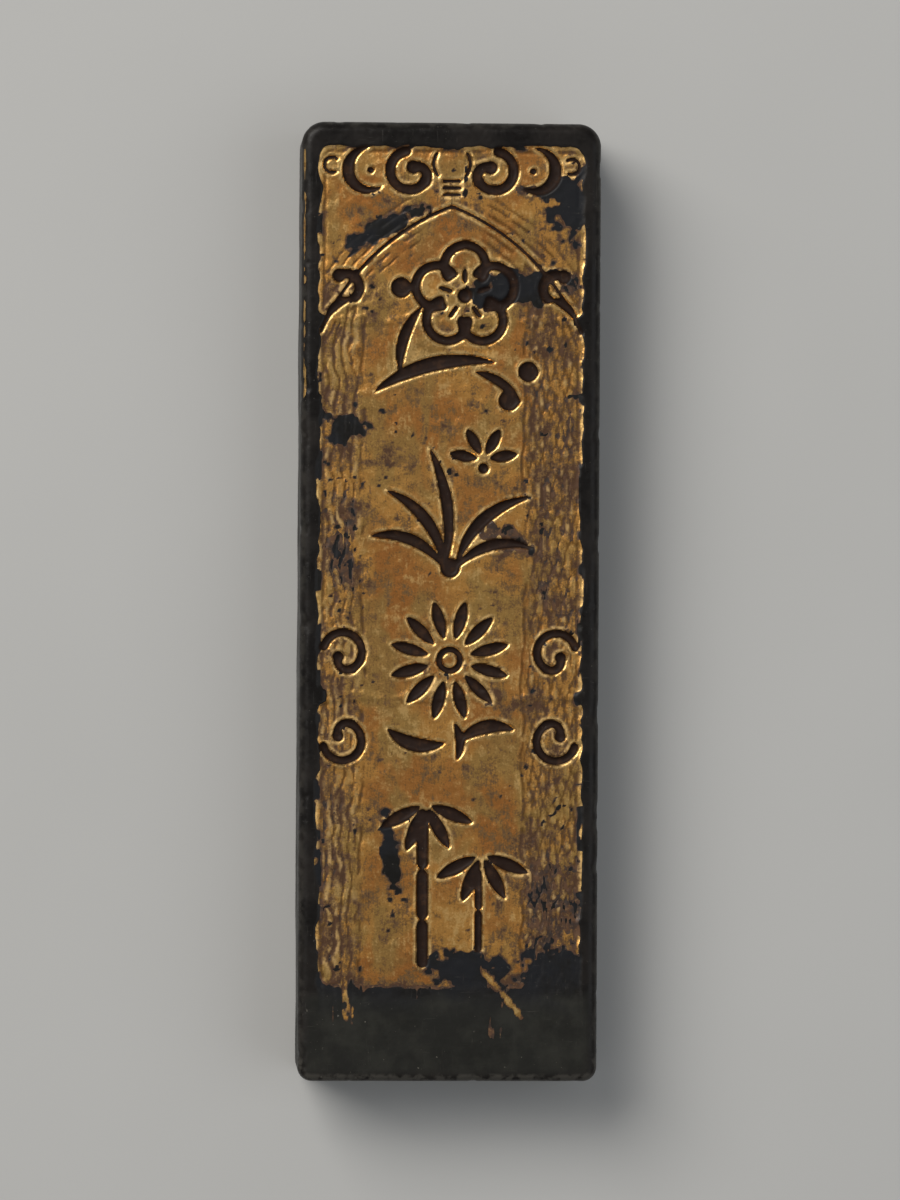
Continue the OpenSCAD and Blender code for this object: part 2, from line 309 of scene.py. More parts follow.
def scan_front(columns, rows):
    """Casts rays down on the CAD nodes, on a grid finer than the lattice.

    Gives the nodes' names, and each point's node, or RIM or GROOVE."""
    tree, owner, names = front_faces()
    cake = names.index("ink_cake")
    xs, ys = finer(columns) - HALF_W, finer(rows) - HALF_L
    found = np.full((len(ys), len(xs)), RIM, int)
    rim_x, low_y, top_y = HALF_W - NO_PANEL[0], NO_PANEL[1] - HALF_L, HALF_L - NO_PANEL[2]
    down = Vector((0, 0, -1))
    for j, y in enumerate(ys):
        if not low_y < y < top_y:
            continue
        for i, x in enumerate(xs):
            if -rim_x < x < rim_x:
                at, _, face, _ = tree.ray_cast(Vector((x, y, HEIGHT + 5)), down)
                if face is not None:
                    if owner[face] != cake:
                        found[j, i] = owner[face]
                    elif at.z < HEIGHT - CAKE_GROOVE:
                        found[j, i] = GROOVE
    return names, found


def spread_regions(found, rows):
    """Gives each point in a groove the node next to it.

    The nodes at the panel's lower edge also run on below it, as far as the streaks reach."""
    region = np.where(found >= 0, found, -1)
    lowest = np.argmax((region >= 0).any(axis=1))
    flat_rows = rows[END_STEPS:]
    reach = int(STREAK_REACH / (flat_rows[9] - flat_rows[8]) * SUPERSAMPLE)
    region[max(0, lowest - reach):lowest] = region[lowest + 1]
    for _ in range(40 * SUPERSAMPLE):
        empty = (region < 0) & (found == GROOVE)
        if not empty.any():
            break
        for axis, way in ((0, 1), (1, 1), (0, -1), (1, -1)):
            near = np.roll(region, way, axis)
            take = (region < 0) & (found == GROOVE) & (near >= 0)
            region[take] = near[take]
    return region


def strip_edge(x, y):
    """Distance into a side strip from its wavy inner edge. The right strip is the wider."""
    inner = np.where(x < 0, 9.1, 7.6) + 1.5 * (fbm2(0 * x + np.sign(x) * 50, y, 5.5, 3, 20) - 0.5)
    return np.abs(x) - inner


def contour_lines(x, y):
    """Fine wavy lines up both side strips, with hatching that follows the arch.

    Gives the lines, and the ridges between those of the strips."""
    from_arch = np.hypot(np.abs(x) + ARCH_X, y - ARCH_Y) - ARCH_R
    below_arch = smooth(-0.7, -1.6, np.where(y > ARCH_Y, from_arch, -9))
    into = strip_edge(x, y)
    strip = smooth(0.0, 0.7, into) * below_arch
    wander = 1.3 * (fbm2(x, y, 3.8, 2, 21) - 0.5) + 0.5 * (fbm2(x, 0.7 * y, 1.3, 2, 22) - 0.5)
    left = np.cos((np.abs(x) + wander) * 2 * math.pi / 0.92)
    # On the right two families of lines cross into a mesh.
    weave = 0.9 * (fbm2(x, y, 2.2, 3, 27) - 0.5)
    right = np.maximum(np.cos((x + 0.28 * y + weave) * 2 * math.pi / 0.98),
                       np.cos((x - 0.24 * y - weave) * 2 * math.pi / 0.98))
    wave = np.where(x < 0, smooth(0.35, 0.95, left), 0.85 * smooth(0.45, 0.97, right))
    lines = strip * wave * smooth(0.26, 0.46, fbm2(x, y, 1.5, 3, 23))
    ridges = strip * smooth(0.1, -0.7, np.where(x < 0, left, right))
    ridges = ridges * smooth(0.40, 0.62, fbm2(x, 0.5 * y, 1.9, 3, 28))
    inner_line = smooth(0.30, 0.08, np.abs(into)) * below_arch * smooth(0.36, 0.50, fbm2(x, y, 2.4, 3, 24))
    lines = np.maximum(lines, 0.9 * inner_line)
    along_arch = (from_arch + 0.30 * (fbm2(x, y, 2, 2, 25) - 0.5)) * 2 * math.pi / 0.86
    hatch = smooth(0.30, 0.92, np.cos(along_arch))
    beside = smooth(2.9, 2.1, np.abs(from_arch - 0.2)) * smooth(2.6, 4.2, np.abs(x)) * smooth(24, 27, y)
    lines = np.maximum(lines, hatch * beside * smooth(0.32, 0.46, fbm2(x, y, 1.8, 2, 26)))
    return lines, ridges


def gold_amount(x, y, lines, worn_edge):
    """How much gold is left, from 0 for none to about 1 where it is whole."""
    gold = 0.86 + 0.75 * (fbm2(x, y, 6.5, 4, 31, 0.6) - 0.5) + 0.42 * (fbm2(x, y, 1.2, 2, 32) - 0.5)
    in_strip = smooth(0.0, 0.8, strip_edge(x, y))
    gold -= np.where(x < 0, 0.14, 0.22) * in_strip * smooth(36, 26, y)
    gold -= 0.26 * lines * (0.4 + 1.0 * fbm2(x, y, 1.4, 3, 33))
    for k, (cx, cy, rx, ry, turn, loss) in enumerate(WORN_PATCHES):
        gold -= loss * patch(x, y, cx, cy, rx, ry, turn, 0.95, 40 + k)
    # The lower edge frays into streaks where ink was ground and wiped.
    fray = fbm2(x * 2.4, y * 0.16, 1.5, 3, 35)
    gold -= (0.35 + 1.5 * fray) * smooth(-38.2, -40.9, y + 1.6 * (fray - 0.5))
    broken = smooth(0.30, 0.56, fbm2(x, 0.6 * y, 0.8, 3, 39, 0.6))
    for k, (cx, cy, rx, ry, turn) in enumerate(STREAKS):
        gold += 1.25 * broken * patch(x, y, cx, cy, rx, ry, turn, 0.9, 61 + k)
    gold -= 0.8 * worn_edge * smooth(0.50, 0.62, fbm2(x, y, 2.6, 3, 36))
    # Tiny flecks, in a few places.
    flecks = smooth(0.69, 0.76, fbm2(x, y, 0.8, 2, 37)) * smooth(0.50, 0.68, fbm2(x, y, 4.5, 2, 38))
    return gold - 0.9 * flecks


# ---------- the fields of the front ----------
# Each function reads and adds to the same record f. All its arrays hold one value for each lattice point.
def read_front():
    """The lattice and what the CAD has under it: grooves, their lips, and how far inside the panel."""
    f = SimpleNamespace()
    columns, rows = lattice_lines()
    f.x, f.y, f.inset, f.edge, f.out_x, f.out_y = rounded_plan(columns, rows)
    f.names, found = scan_front(columns, rows)
    region = spread_regions(found, rows)
    pitch = (columns[EDGE_STEPS + 1] - columns[EDGE_STEPS]) / SUPERSAMPLE

    def soften(mask, sigma):
        """A mask on the finer grid, blurred by sigma millimetres and read at the lattice points."""
        return blur(mask.astype(float), sigma / pitch)[::SUPERSAMPLE, ::SUPERSAMPLE]

    def own_share(name):
        """Positive where the gold belongs to this node more than to all the others."""
        own = region == f.names.index(name)
        return soften(own, JOINT_BLUR) - soften((region >= 0) & ~own, JOINT_BLUR)

    f.own_share = own_share
    f.groove = soften(found == GROOVE, LINE_BLUR)
    f.lip = soften(found == GROOVE, LIP_BLUR)
    f.inside = soften(region >= 0, EDGE_BLUR)
    return f


def add_lines(f):
    """The panel's wavering edge with its nicks, the border line, and the fine contour lines."""
    waver = 0.7 * fbm2(f.x, f.y, 4.5, 2, 55) + 0.3 * fbm2(f.x, f.y, 1.4, 2, 58)
    edge_line = 0.50 + 0.40 * smooth(0.30, 0.75, waver)
    for nick in NICKS:
        edge_line += 0.30 * smooth(0.9, 0.1, np.abs(f.y - nick))
    f.edge_line = np.minimum(edge_line, 0.93)
    f.above_bare = smooth(-HALF_L + 6.2, -HALF_L + 10.5, f.y)
    f.panel = smooth(-0.06, 0.20, f.inside - f.edge_line) * f.above_bare
    f.border = smooth(0.90, 0.965, f.inside) * smooth(0.9998, 0.985, f.inside)
    f.border = f.border * smooth(0.32, 0.5, fbm2(f.x, f.y, 2.0, 3, 56))
    # Lines stop short of the grooves.
    clear = 1 - smooth(0.04, 0.22, f.lip)
    lines, f.ridges = contour_lines(f.x, f.y)
    lines = lines * smooth(0.97, 0.995, f.inside) * clear
    f.lines = np.maximum(lines, 0.85 * f.border * clear) * f.above_bare
    f.cut = smooth(0.12, 0.80, f.groove)


def add_relief(f):
    """Each point's place and normal, and how much further the leaf lifts on steep slopes."""
    x, y, inset, edge = f.x, f.y, f.inset, f.edge
    f.lean = np.clip((edge - inset) / edge, 0, 1)
    drop = edge - np.sqrt(np.maximum(edge ** 2 - (f.lean * edge) ** 2, 0))
    z = HEIGHT - TOP_GAP - drop
    z -= PANEL_RECESS * f.panel
    z -= LINE_DEPTH * f.cut + BOWL_DEPTH * smooth(0.35, 1.0, f.lip)
    z += LIP_RISE * smooth(0.02, 0.14, f.lip) * (1 - f.cut) * f.panel
    z -= np.where(f.border * 0.85 >= f.lines, BORDER_DEPTH, CONTOUR_DEPTH) * f.lines
    # Slight hollows, deeper towards the ground end, and dings along the edges.
    z -= 0.06 * fbm2(x, y, 3.0, 3, 51) + (0.03 + 0.04 * f.panel) * fbm2(x, y, 1.0, 2, 52)
    z -= 0.12 * smooth(5, 0, y + HALF_L) * fbm2(x, y, 5, 3, 53)
    ding = smooth(0.58, 0.80, fbm2(x, y, 2.2, 3, 54)) * smooth(2.2, 0.3, inset)
    wear = 0.015 + 0.10 * ding
    up = np.sqrt(1 - f.lean ** 2)
    z -= up * wear * smooth(2.2, 0.3, inset)
    worn_x, worn_y = x - f.out_x * f.lean * wear, y - f.out_y * f.lean * wear
    f.place = np.stack([worn_x, worn_y, z], axis=-1)
    f.normal = np.stack([f.out_x * f.lean, f.out_y * f.lean, up], axis=-1)

    # Without the extra lift the cake could show through the leaf beside a groove.
    run_x = np.abs(np.diff(worn_x, axis=1, append=2 * HALF_W)) + 1e-6
    run_y = np.diff(worn_y, axis=0, append=2 * HALF_L) + 1e-6
    slope = np.hypot(np.diff(z, axis=1, append=0) / run_x, np.diff(z, axis=0, append=0) / run_y)
    lift = np.hypot(1, blur(np.clip(slope, 0, 2.5), 0.8))
    f.steep = np.where(inset > edge, np.clip(lift, 1, 2.4), 1.0)


def add_gold(f):
    """How much gold is left, where the leaf can lie, how warm it is, and where it is paler from polish and
    painted highlights.
    """
    x, y = f.x, f.y
    f.gold = gold_amount(x, y, f.lines, smooth(0.995, 0.90, f.inside) * f.above_bare)
    f.lost = f.panel * smooth(0.35, 0.15, f.gold)
    f.outline = np.where(f.above_bare > 0, f.inside - f.edge_line - 0.05, f.inside - 0.5)
    f.off_line = 0.56 - f.groove
    f.warm = 0.85 * smooth(0.38, 0.62, fbm2(x, y, 6.5, 3, 71)) * smooth(11, 8, np.abs(x))
    for k, (cx, cy, rx, ry) in enumerate(WARM_PATCHES):
        f.warm = np.clip(f.warm + 0.7 * patch(x, y, cx, cy, rx, ry, 0, 0.8, 72 + k), 0, 1)
    # Lips of lines, the panel's edge and the ridges of the strips are paler: partly polish from handling,
    # partly painted highlights and glints.
    edge_glint = 0.75 * smooth(0.93, 0.80, f.inside) * f.above_bare
    ridges = 0.62 * f.ridges * f.above_bare
    f.bright = np.max([smooth(0.02, 0.16, f.lip), edge_glint, ridges], axis=0)


# ---------- meshes ----------
def make_object(name, verts, polygons, fields):
    """A smooth object on the root body, with each field as an attribute for its material."""
    loops, starts, totals = join_polygons(polygons)
    mesh = bpy.data.meshes.new(name)
    mesh.vertices.add(len(verts))
    mesh.vertices.foreach_set("co", (verts * MM).astype(np.float32).ravel())
    mesh.loops.add(len(loops))
    mesh.loops.foreach_set("vertex_index", loops.astype(np.int32))
    mesh.polygons.add(len(starts))
    mesh.polygons.foreach_set("loop_start", starts.astype(np.int32))
    mesh.polygons.foreach_set("loop_total", totals.astype(np.int32))
    mesh.update(calc_edges=True)
    mesh.validate()
    mesh.polygons.foreach_set("use_smooth", np.ones(len(mesh.polygons), bool))
    for label, values in fields.items():
        attribute = mesh.attributes.new(label, "FLOAT", "POINT")
        attribute.data.foreach_set("value", values.astype(np.float32).ravel())
    obj = bpy.data.objects.new(name, mesh)
    bpy.context.scene.collection.objects.link(obj)
    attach(obj, "root")
    return obj


def join_polygons(groups):
    """Loops, starts and totals of arrays of polygons, each array with polygons of one size."""
    loops = np.concatenate([g.ravel() for g in groups])
    totals = np.concatenate([np.full(len(g), g.shape[1]) for g in groups])
    starts = np.concatenate([[0], np.cumsum(totals)[:-1]])
    return loops, starts, totals


def cell_polygons():
    """What is kept of a lattice cell, for each set of its corners 0 to 3 that is inside.

    The cell is two triangles that share the diagonal from 0 to 2, as Blender splits the cake's own quads.
    Points 4 to 7 are where the outline crosses the sides, and 8 is where it crosses the diagonal."""
    table = {15: [[0, 1, 2, 3]]}
    for case in range(1, 15):
        table[case] = []
        for corners, crossings in (((0, 1, 2), (4, 5, 8)), ((0, 2, 3), (8, 6, 7))):
            polygon = []
            for k, corner in enumerate(corners):
                following = corners[(k + 1) % 3]
                here, there = case >> corner & 1, case >> following & 1
                if here:
                    polygon.append(corner)
                if here != there:
                    polygon.append(crossings[k])
            if polygon:
                table[case].append(polygon)
    return table


def cut_share(keeps, first, second):
    """How far from the first point of each lattice edge to its second one the outline crosses it.

    The outline is where any of keeps falls to 0. It stays clear of both points, so no sliver is made."""
    ahead, back = 1.0, 1.0
    for keep in keeps:
        a, b = keep[first], keep[second]
        share = a / np.where(a == b, 1, a - b)
        ahead = np.where((a > 0) & (b <= 0), np.minimum(ahead, share), ahead)
        back = np.where((b > 0) & (a <= 0), np.minimum(back, 1 - share), back)
    starts_inside = np.min([keep[first] for keep in keeps], axis=0) > 0
    return np.clip(np.where(starts_inside, ahead, 1 - back), 0.07, 0.93)


def without_crumbs(keeps):
    """The same keeps and one more, which is negative on free islands of only a few lattice points."""
    inside = np.min(keeps, axis=0) > 0
    kept = inside & (blur(inside.astype(float), CRUMB_BLUR) > CRUMB_SHARE)
    for _ in range(CRUMB_REACH):
        grown = kept.copy()
        grown[1:] |= kept[:-1]
        grown[:-1] |= kept[1:]
        grown[:, 1:] |= kept[:, :-1]
        grown[:, :-1] |= kept[:, 1:]
        grown[1:, 1:] |= kept[:-1, :-1]
        grown[:-1, :-1] |= kept[1:, 1:]
        kept = grown & inside
    return keeps + [np.where(inside & ~kept, -1.0, 1.0)]


def trimmed_shell(name, f, keeps, lift, thick, fields):
    """A thin closed shell over the lattice where all of keeps are positive, cut between its points.

    Its top and its underside meet in a feather edge along the outline."""
    nj, ni = keeps[0].shape
    inside = np.min(keeps, axis=0) > 0
    case = inside[:-1, :-1] * 1 + inside[:-1, 1:] * 2 + inside[1:, 1:] * 4 + inside[1:, :-1] * 8
    # The lattice points are numbered first, then the crossings of the rows, columns and diagonals.
    grid = np.arange(nj * ni).reshape(nj, ni)
    across = nj * ni + np.arange(nj * (ni - 1)).reshape(nj, ni - 1)
    along = nj * ni + nj * (ni - 1) + np.arange((nj - 1) * ni).reshape(nj - 1, ni)
    diagonal = along[-1, -1] + 1 + np.arange((nj - 1) * (ni - 1)).reshape(nj - 1, ni - 1)
    local = [grid[:-1, :-1], grid[:-1, 1:], grid[1:, 1:], grid[1:, :-1],
             across[:-1], along[:, 1:], across[1:], along[:, :-1], diagonal]
    tops = []
    for k, polygons in cell_polygons().items():
        cells = case == k
        if cells.any():
            tops += [np.stack([local[c][cells] for c in polygon], axis=1) for polygon in polygons]
    used = np.unique(np.concatenate([t.ravel() for t in tops]))
    lattice_edges = (
        (np.s_[:, :-1], np.s_[:, 1:]),
        (np.s_[:-1], np.s_[1:]),
        (np.s_[:-1, :-1], np.s_[1:, 1:]),
    )

    def at_used(values):
        """The values at the used points, in the order of their numbers."""
        values = values.reshape(nj, ni, -1)
        parts = [values.reshape(nj * ni, -1)]
        for first, second in lattice_edges:
            share = cut_share(keeps, first, second)[..., None]
            between = values[first] * (1 - share) + values[second] * share
            parts.append(between.reshape(-1, values.shape[2]))
        return np.concatenate(parts)[used]

    index = np.zeros(int(used[-1]) + 1, int)
    index[used] = np.arange(len(used))
    tops = [index[t] for t in tops]
    # Only points off the outline have a second point below them.
    inner = used < nj * ni
    below = np.arange(len(used))
    below[inner] = len(used) + np.arange(inner.sum())
    place, normal = at_used(f.place), at_used(f.normal)
    top = place + normal * lift * at_used(f.steep)
    verts = np.concatenate([top, (place + normal * (lift - thick))[inner]])
    both = {}
    for label, values in fields.items():
        values = at_used(values)[:, 0]
        both[label] = np.concatenate([values, values[inner]])
    shell = make_object(name, verts, tops + [below[t][:, ::-1] for t in tops], both)
    shell.data.set_sharp_from_angle(angle=math.radians(SHARP_EDGE))
    return shell


def quads(grid):
    """The four corners of each cell of a grid of point numbers."""
    return np.stack([grid[:-1, :-1], grid[:-1, 1:], grid[1:, 1:], grid[1:, :-1]], axis=-1).reshape(-1, 4)


def outline_of(grid):
    """The numbers along a grid's outline, in order from its first corner."""
    return np.concatenate([grid[0, :-1], grid[:-1, -1], grid[-1, :0:-1], grid[:0:-1, 0]])


def side_rings(f, outline):
    """Rings of points down the sides, under the given points of the front's outline."""
    top = f.place.reshape(-1, 3)[outline]
    out_x, out_y, low_z = (v.ravel()[outline] for v in (f.out_x, f.out_y, f.edge))
    plan = np.stack([f.x.ravel()[outline], f.y.ravel()[outline]], axis=-1)
    rings = []
    for k in range(1, WALL_ROWS + 1):
        t = k / WALL_ROWS
        ring = top.copy()
        ring[:, 2] = top[:, 2] * (1 - t) + low_z * t
        # The dents of the front's edge die out down the wall, which has slight hollows of its own.
        away = fade(min(1, 4 * t))
        hollow = 0.12 * noise3(ring, 8.0, 3) + 0.035 * noise3(ring, 1.5, 5)
        ring[:, :2] += away * (plan - ring[:, :2])
        ring[:, 0] -= out_x * hollow * away
        ring[:, 1] -= out_y * hollow * away
        rings.append(ring)
    return rings


def back_points(f):
    """The back's points: the front's lattice made coarser, with rounded edges and slight dips."""
    step = FINE_PER_COARSE
    x, y = f.place[::step, ::step, 0], f.place[::step, ::step, 1]
    inset, edge = f.inset[::step, ::step], f.edge[::step, ::step]
    rise = edge - np.sqrt(np.maximum(edge ** 2 - np.maximum(edge - inset, 0) ** 2, 0))
    dip = 0.09 * noise2(x, y, 9, 6) + 0.03 * noise2(x, y, 1.7, 7)
    return np.stack([x, y, rise + dip * smooth(1.2, 3.5, inset)], axis=-1)


def cake_object(f, front_fields):
    """The closed cake: the fine front, a strip that steps down to a coarser mesh, the sides and back.

    Each field comes as its values on the front and its one value elsewhere."""
    n_front = f.inset.size
    grid = np.arange(n_front).reshape(f.inset.shape)
    outline = outline_of(grid)
    coarse = outline[::FINE_PER_COARSE]
    n_ring = len(coarse)
    rings = [n_front + k * n_ring + np.arange(n_ring) for k in range(WALL_ROWS)]
    # The strip under the front: each cell has four fine points above and two coarse ones below.
    above = outline.reshape(-1, FINE_PER_COARSE)
    after = np.roll(above[:, 0], -1)
    strip = np.column_stack([after, above[:, ::-1], rings[0], np.roll(rings[0], -1)])
    walls = [np.stack([np.roll(a, -1), a, b, np.roll(b, -1)], axis=1) for a, b in zip(rings, rings[1:])]
    # The back shares the last ring of the sides.
    back = back_points(f)
    spots = np.arange(back[..., 0].size).reshape(back.shape[:2])
    inner = np.ones(spots.shape, bool)
    inner.flat[outline_of(spots)] = False
    spots.flat[outline_of(spots)] = rings[-1]
    spots[inner] = n_front + WALL_ROWS * n_ring + np.arange(inner.sum())

    verts = np.concatenate([f.place.reshape(-1, 3)] + side_rings(f, coarse) + [back[inner]])
    elsewhere = verts[n_front:]
    fields = {}
    for label, (values, value_elsewhere) in front_fields.items():
        fields[label] = np.concatenate([values.ravel(), np.full(len(elsewhere), value_elsewhere)])
    # Wear on the edges of the sides and back, and the bare ground end.
    x, y, z = elsewhere.T
    from_side = np.minimum(HALF_W - np.abs(x), HALF_L - np.abs(y))
    fields["edge"][n_front:] = smooth(2.2, 0.4, z) * smooth(2.2, 0.6, from_side)
    ground = smooth(-HALF_L + 8.2, -HALF_L + 6.0, y + noise3(elsewhere, 1.6, 8))
    pale = 0.10 + 0.25 * smooth(0.45, 0.7, noise3(elsewhere, 7.0, 9))
    fields["bare"][n_front:] = np.maximum(pale, 0.8 * ground)
    polygons = [quads(grid), strip] + walls + [quads(spots)[:, [0, 3, 2, 1]]]
    return make_object("stick_cake", verts, polygons, fields)


# ---------- materials ----------
class Tree:
    """Small helper to write a material's nodes as expressions."""

    def __init__(self, name):
        self.material = bpy.data.materials.new(name)
        self.material.use_nodes = True
        self.nt = self.material.node_tree
        self.nt.nodes.clear()
        self.place = self.add("ShaderNodeTexCoord").outputs["Object"]

    def add(self, kind, inputs=None, **settings):
        node = self.nt.nodes.new(kind)
        for key, value in settings.items():
            setattr(node, key, value)
        for key, value in (inputs or {}).items():
            socket = node.inputs[key]
            if isinstance(value, bpy.types.NodeSocket):
                self.nt.links.new(value, socket)
            else:
                socket.default_value = value
        return node

    def field(self, name):
        return self.add("ShaderNodeAttribute", attribute_name=name).outputs["Fac"]

    def maths(self, operation, a, b=0.0, clamp=False):
        return self.add("ShaderNodeMath", {0: a, 1: b}, operation=operation, use_clamp=clamp).outputs[0]

    def stretch(self, scale, turn=(0, 0, 0)):
        return self.add("ShaderNodeMapping", {
            "Vector": self.place, "Scale": scale, "Rotation": turn}).outputs[0]

    def noise(self, size, detail=4.0, rough=0.55, vector=None, distortion=0.0):
        """Noise from 0 to 1, with features about size millimetres across."""
        return self.add("ShaderNodeTexNoise", {
            "Vector": self.place if vector is None else vector, "Scale": 1 / (size * MM),
            "Detail": detail, "Roughness": rough, "Distortion": distortion}).outputs["Fac"]

    def span(self, value, low, high, to_low=0.0, to_high=1.0):
        return self.add("ShaderNodeMapRange", {
            "Value": value, "From Min": low, "From Max": high, "To Min": to_low, "To Max": to_high},
            interpolation_type="SMOOTHSTEP").outputs[0]

    def mix(self, share, a, b):
        node = self.add("ShaderNodeMix", data_type="RGBA")
        # A colour mix has its factor at socket 0 and its two colours at 6 and 7.
        for socket, value in ((node.inputs[0], share), (node.inputs[6], a), (node.inputs[7], b)):
            if isinstance(value, bpy.types.NodeSocket):
                self.nt.links.new(value, socket)
            else:
                socket.default_value = value if isinstance(value, float) else (*value, 1)
        return node.outputs[2]

    def bump(self, height, depth_mm, strength, under=None):
        inputs = {"Height": height, "Distance": depth_mm * MM, "Strength": strength}
        if under is not None:
            inputs["Normal"] = under
        return self.add("ShaderNodeBump", inputs).outputs[0]

    def finish(self, specular=0.5, **inputs):
        shader = self.add("ShaderNodeBsdfPrincipled", {k.replace("_", " "): v for k, v in inputs.items()})
        shader.inputs["Specular IOR Level"].default_value = specular
        self.add("ShaderNodeOutputMaterial", {"Surface": shader.outputs[0]})
        return self.material


# Colours are linear.
INK = (0.0056, 0.0044, 0.0036)
INK_CLOUD = (0.0125, 0.0096, 0.0076)
INK_GROUND = (0.0118, 0.0115, 0.0090)
INK_GROUND_PALE = (0.0225, 0.0220, 0.0172)
INK_LINE = (0.0170, 0.0064, 0.0028)
INK_LINE_BROWN = (0.040, 0.017, 0.007)
# Paler ink for scratches and worn edges; on the front's arrises it is also a painted highlight.
INK_WEAR_AND_HIGHLIGHT = (0.065, 0.060, 0.050)
INK_BLUE = (0.0085, 0.0092, 0.0115)
DUST = (0.150, 0.138, 0.112)
INK_SPECULAR = 0.22
SIZE_BROWN = (0.105, 0.044, 0.014)
SIZE_DARK = (0.030, 0.015, 0.008)
GOLD = (0.61, 0.302, 0.076)
GOLD_PALE = (0.88, 0.57, 0.215)
GOLD_ORANGE = (0.47, 0.190, 0.048)
GOLD_GREEN = (0.42, 0.262, 0.082)
GOLD_OLIVE = (0.196, 0.109, 0.039)
GOLD_BROWN = (0.080, 0.034, 0.012)
FLOOR_DARKER = (0.515, 0.515, 0.50)
FLOOR_PALER = (0.53, 0.53, 0.515)


def ink_material():
    t = Tree("pressed_ink")
    bare, edge, groove, lost = t.field("bare"), t.field("edge"), t.field("groove"), t.field("lost")
    # Clouded black, greyer where it is ground, bluish where gold was lost, brown in the grooves.
    cloud = t.noise(5.0, 5, 0.6)
    fine = t.noise(0.45, 5, 0.65)
    colour = t.mix(t.span(cloud, 0.38, 0.68), INK, INK_CLOUD)
    ground = t.mix(t.span(t.noise(3.0, 5, 0.6), 0.38, 0.66), INK_GROUND, INK_GROUND_PALE)
    colour = t.mix(bare, colour, ground)
    colour = t.mix(t.maths("MULTIPLY", lost, t.span(cloud, 0.35, 0.6)), colour, INK_BLUE)
    residue = t.mix(t.span(t.noise(0.9, 4), 0.50, 0.68), INK_LINE, INK_LINE_BROWN)
    colour = t.mix(groove, colour, residue)
    # Paler edges, partly rubbed wear and partly a painted highlight on the arrises; scratches both ways,
    # and dust.
    rubbed_and_lit_edges = t.span(t.maths("MULTIPLY", edge, t.span(t.noise(1.3, 4), 0.30, 0.62)), 0.15, 0.80)
    colour = t.mix(t.maths("MULTIPLY", rubbed_and_lit_edges, 0.75), colour, INK_WEAR_AND_HIGHLIGHT)
    scratch = t.noise(0.16, 3, 0.6, t.stretch((1, 0.05, 1), (0, 0, 0.5)))
    cross_scratch = t.noise(0.14, 3, 0.6, t.stretch((0.05, 1, 1), (0, 0, 0.25)))
    lines = t.maths("MAXIMUM", t.span(scratch, 0.64, 0.74), t.span(cross_scratch, 0.64, 0.74))
    lines = t.maths("MULTIPLY", lines, t.span(t.noise(3.5, 3), 0.40, 0.58))
    colour = t.mix(t.maths("MULTIPLY", lines, 0.40), colour, INK_WEAR_AND_HIGHLIGHT)
    speck = t.span(t.noise(0.26, 2, 0.5), 0.72, 0.78)
    colour = t.mix(t.maths("MULTIPLY", speck, 0.6), colour, DUST)
    mote = t.span(t.noise(0.55, 2, 0.5), 0.745, 0.775)
    colour = t.mix(t.maths("MULTIPLY", mote, t.maths("MULTIPLY", bare, 0.8)), colour, DUST)
    # Half-gloss where it was moulded, matt where it is ground or cut.
    rough = t.span(cloud, 0.3, 0.7, 0.30, 0.48)
    rough = t.maths("ADD", rough, t.maths("MULTIPLY", t.maths("SUBTRACT", fine, 0.5), 0.40))
    rough = t.maths("ADD", rough, t.maths("MULTIPLY", bare, 0.26))
    rough = t.maths("ADD", rough, t.maths("MULTIPLY", groove, 0.25), clamp=True)
    normal = t.bump(t.noise(1.4, 5, 0.6), 0.03, 0.6)
    normal = t.bump(fine, 0.014, 0.8, normal)
    normal = t.bump(t.maths("SUBTRACT", 1.0, lines), 0.010, 0.7, normal)
    return t.finish(INK_SPECULAR, Base_Color=colour, Roughness=rough, Normal=normal)


def size_material():
    t = Tree("lacquer_size")
    colour = t.mix(t.span(t.noise(1.2, 5, 0.6), 0.38, 0.62), SIZE_DARK, SIZE_BROWN)
    fleck = t.span(t.noise(0.30, 3, 0.6), 0.58, 0.66)
    colour = t.mix(t.maths("MULTIPLY", fleck, 0.6), colour, GOLD_OLIVE)
    rough = t.span(t.noise(0.8, 4), 0.3, 0.7, 0.36, 0.60)
    normal = t.bump(t.noise(0.35, 4, 0.6), 0.012, 0.7)
    return t.finish(Base_Color=colour, Roughness=rough, Normal=normal)


